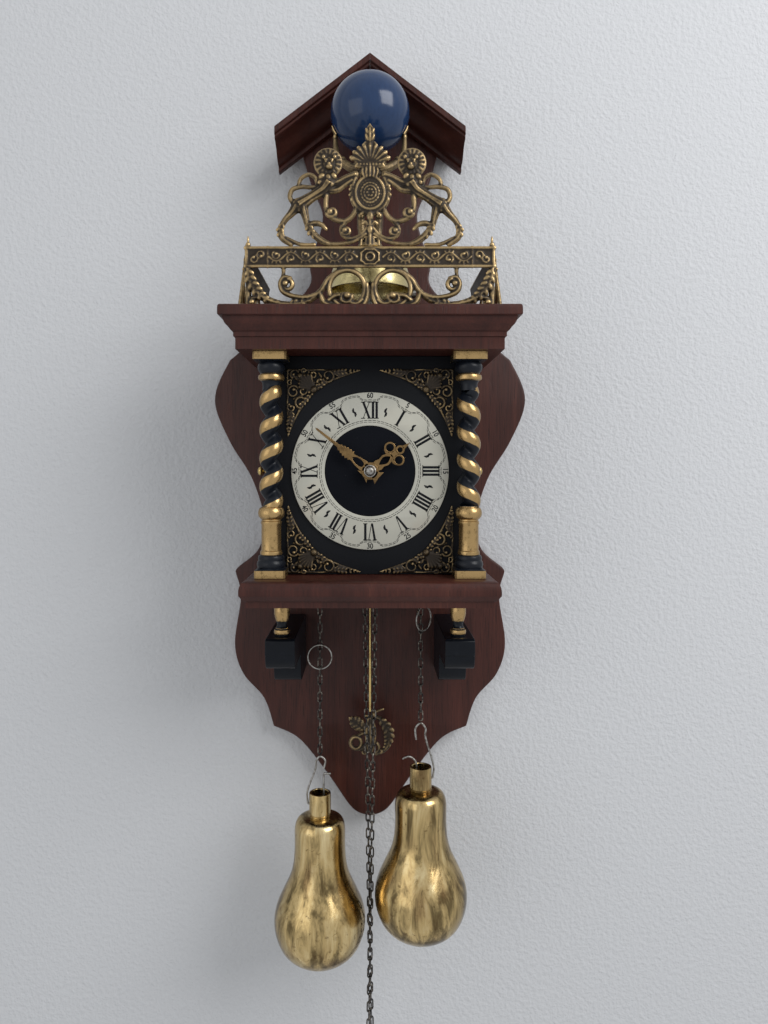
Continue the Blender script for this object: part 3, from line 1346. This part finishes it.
def sprocket(side, name, y):
    rim = LANE - CHAIN_RADIUS - GAP
    half = SPROCKET_WIDE / 2
    bore = GREAT_ARBOR + RUNNING
    shape = turned(((rim, half), (rim, -half), (bore, -half), (bore, half)), TURN_STEPS, closed=True)
    part(y_axis_part(shape, side * SPROCKET_X, y, -SPROCKET_Z), name, POLISHED)


def strike_train():
    front = STRIKE_Y + CHAIN_RADIUS + WHEEL_SIDE_GAP + WHEEL_THICK
    shape = joined([
        wheel(GREAT_RADIUS, GREAT_TEETH, WHEEL_THICK, SPROCKET_X, front, -SPROCKET_Z),
        arbor(SPROCKET_X, -SPROCKET_Z, GREAT_ARBOR),
    ])
    part(shape, "strike_great_wheel", POLISHED)


HOUR_WHEEL_RADIUS = 0.0110
HOUR_WHEEL_THICK = 0.0012


def hour_pipe():
    back = FRONT_PLATE_Y + GAP
    long = HOUR_FRONT - SINK - back
    thick = HOUR_WHEEL_THICK
    profile = (
        (PIPE_OUTER, long), (PIPE_OUTER, thick), (HOUR_WHEEL_RADIUS, thick), (HOUR_WHEEL_RADIUS, 0),
        (PIPE_INNER, 0), (PIPE_INNER, long),
    )
    return y_axis_part(turned(profile, COLUMN_SIDES, closed=True), 0, back, 0)


ANCHOR_REACH = 0.0098
ANCHOR_DROP = 0.0090
CRUTCH_DROP = 0.0360
CRUTCH_WIRE = 0.0008
FORK_LONG = 0.0040


def anchor():
    back = PENDULUM_Y + FORK_LONG
    pivot = PENDULUM_PIVOT
    y = -ESCAPE_PLANE + WHEEL_THICK / 2
    pallets = tube(
        [(-ANCHOR_REACH, y, pivot - ANCHOR_DROP), (-ANCHOR_REACH / 2, y, pivot + CRUTCH_WIRE),
         (0, y, pivot + ARBOR_RADIUS), (ANCHOR_REACH / 2, y, pivot + CRUTCH_WIRE),
         (ANCHOR_REACH, y, pivot - ANCHOR_DROP)],
        CRUTCH_WIRE,
    )
    stem_y = -back - CRUTCH_WIRE
    low = pivot - CRUTCH_DROP
    stem = tube([(0, stem_y, pivot), (0, stem_y, low)], CRUTCH_WIRE)
    reach = ROD_RADIUS + CRUTCH_WIRE + GAP
    fork = tube(
        [(-reach, -PENDULUM_Y + ROD_RADIUS, low), (-reach, stem_y, low), (reach, stem_y, low),
         (reach, -PENDULUM_Y + ROD_RADIUS, low)],
        CRUTCH_WIRE,
    )
    shape = joined([arbor(0, pivot, ANCHOR_ARBOR, back=back), pallets, stem, fork])
    part(shape, "anchor", IRON)


ANCHOR_ARBOR = 0.0012


def hammer():
    arm_x = HAMMER_HEAD_X + HAMMER_HEAD_LONG / 2
    y = -HAMMER_Y
    shape = joined([
        arbor(HAMMER_X, HAMMER_Z, ANCHOR_ARBOR),
        tube([(HAMMER_X, y, HAMMER_Z), (arm_x, y, HAMMER_HEAD_Z)], ANCHOR_ARBOR),
        rod((HAMMER_HEAD_X, y, HAMMER_HEAD_Z), (HAMMER_HEAD_X + HAMMER_HEAD_LONG, y, HAMMER_HEAD_Z),
            HAMMER_HEAD_RADIUS, COLUMN_SIDES),
    ])
    part(shape, "hammer", IRON)


def build():
    backboard()
    roof(-1, "roof_left")
    roof(1, "roof_right")
    cornice()
    base_board()
    for side, label in ((-1, "left"), (1, "right")):
        bracket(side, "bracket_" + label)
        baluster(side, "baluster_" + label)
        column(side, "column_" + label)
        door(side, "door_" + label, "door_glass_" + label, "door_knob_" + label)
        gallery_side(side, "gallery_" + label)
        for up, row in ((1, "top"), (-1, "bottom")):
            spandrel(side, up, "spandrel_" + row + "_" + label)
    dial_panel()
    chapter_ring()
    dial_centre()
    hands()
    gallery_front()
    crest()
    bell()
    bell_post()
    figure()
    globe()
    weight(-1, "time_weight", TIME_Y, TIME_RIM_Z)
    weight(1, "strike_weight", STRIKE_Y, STRIKE_RIM_Z)
    hook(-1, "time_hook", TIME_Y, TIME_RIM_Z, TIME_CHAIN_END, TIME_HOOK_SHARES, TIME_CURL)
    hook(1, "strike_hook", STRIKE_Y, STRIKE_RIM_Z, STRIKE_CHAIN_END, STRIKE_HOOK_SHARES, STRIKE_CURL)
    chain_set(-1, "time", TIME_Y, TIME_CHAIN_END, TIME_FREE_END, TIME_RING_Z, 0, 0)
    chain_set(1, "strike", STRIKE_Y, STRIKE_CHAIN_END, STRIKE_FREE_END, STRIKE_RING_Z, 50, 1)
    pendulum()
    plates()
    time_train()
    sprocket(-1, "time_sprocket", TIME_Y)
    strike_train()
    sprocket(1, "strike_sprocket", STRIKE_Y)
    anchor()
    hammer()


build()
